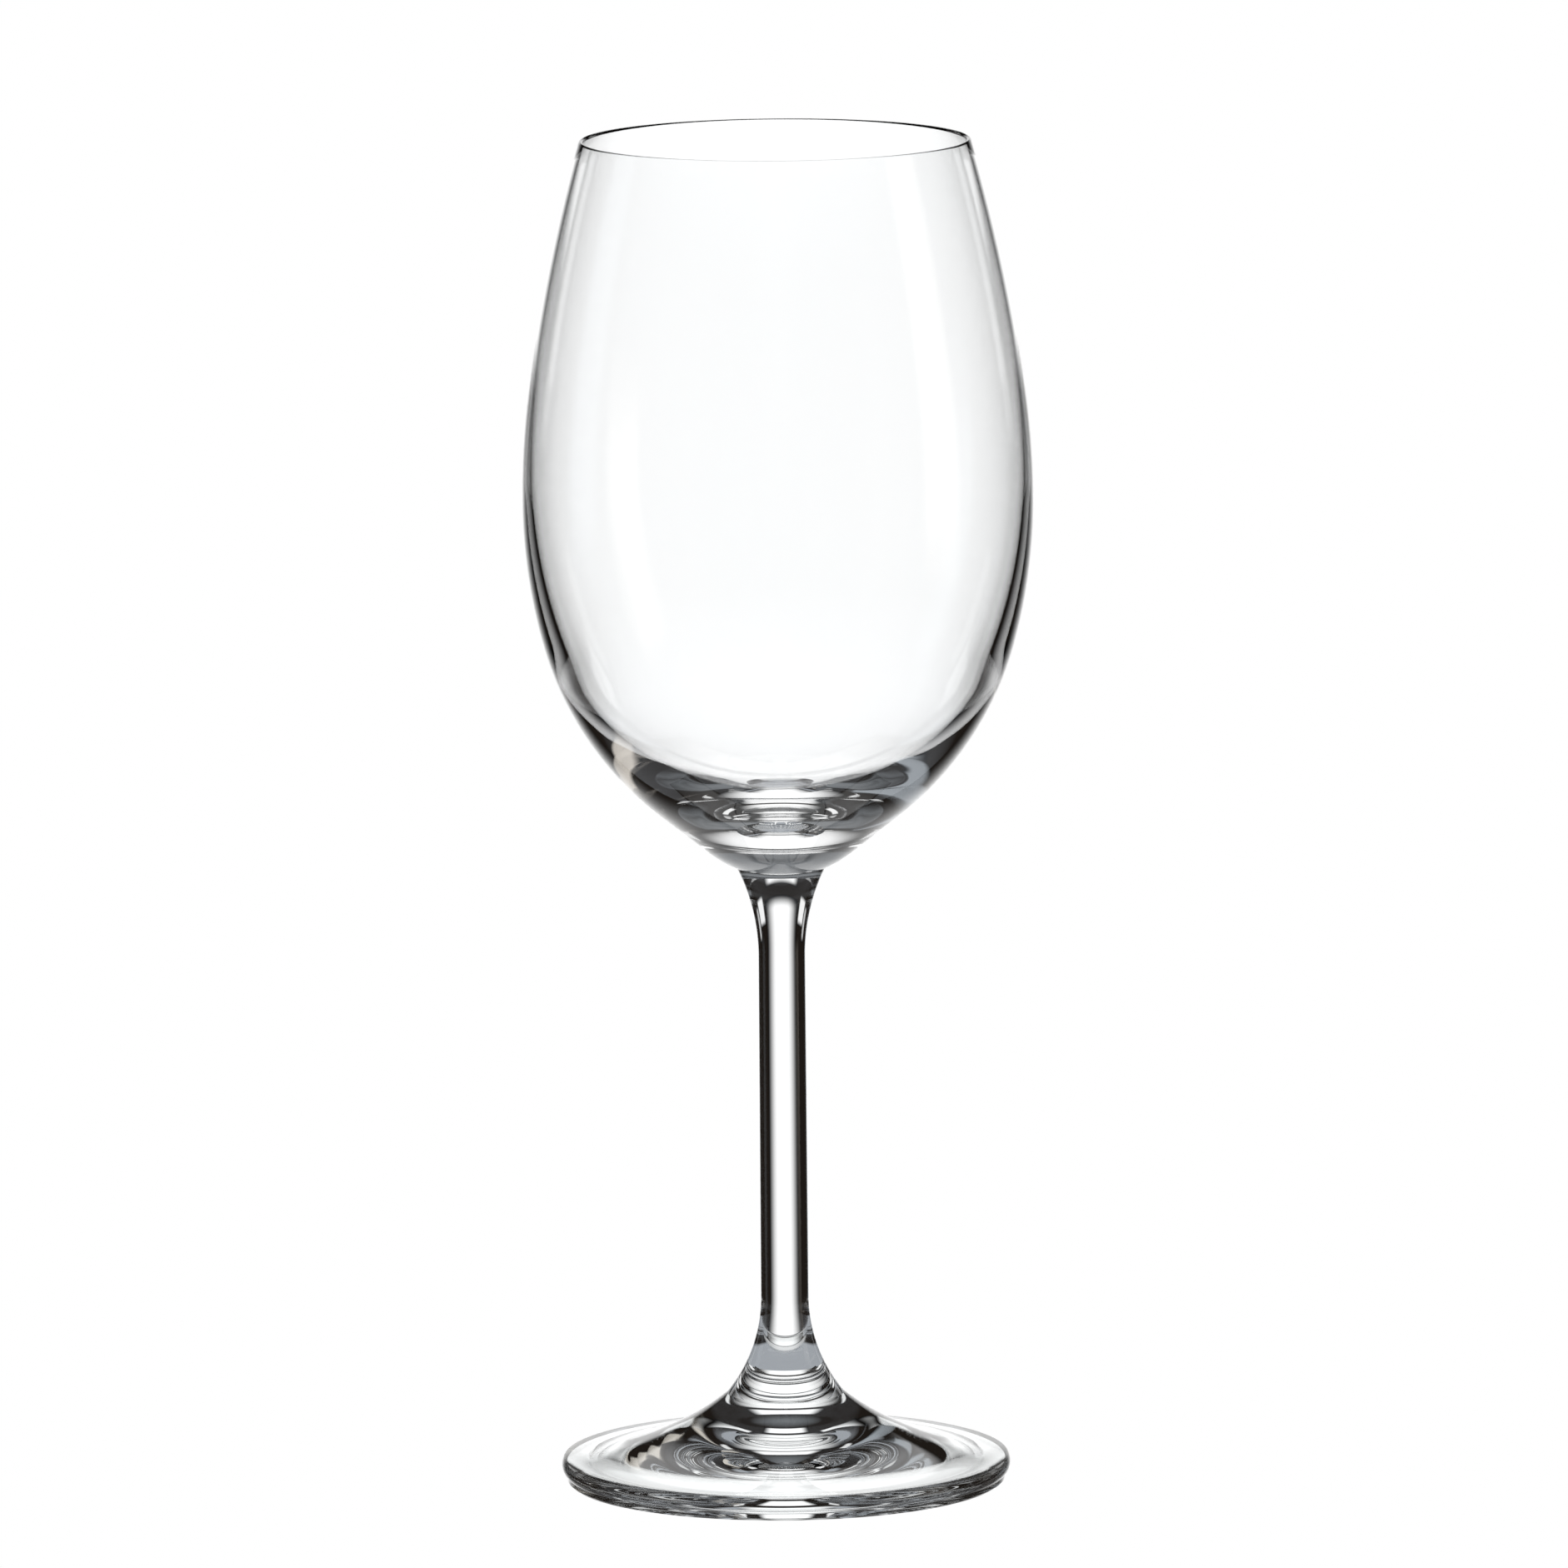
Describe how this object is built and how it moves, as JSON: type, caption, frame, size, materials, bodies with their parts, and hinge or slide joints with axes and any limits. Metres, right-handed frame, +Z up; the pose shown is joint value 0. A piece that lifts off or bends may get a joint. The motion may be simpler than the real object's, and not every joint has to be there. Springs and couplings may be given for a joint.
{
  "type": "wine glass",
  "caption": "Stemmed wine glass: round bowl narrowing to a fire-polished rim, solid thick bowl base, slim stem flared at both ends, broad shallow conical foot.",
  "frame": {"origin": "centre of the foot's resting ring, on the surface the glass stands on", "axes": "+Z up along the axis of the glass; X and Y are free, because the glass is round"},
  "size_m": [0.0836, 0.0836, 0.222],
  "materials": {
    "clear_glass": "fire-polished, clear, high gloss"
  },
  "bodies": {
    "root": {"bowl": "clear_glass", "stem": "clear_glass", "foot": "clear_glass"}
  },
  "joints": []
}
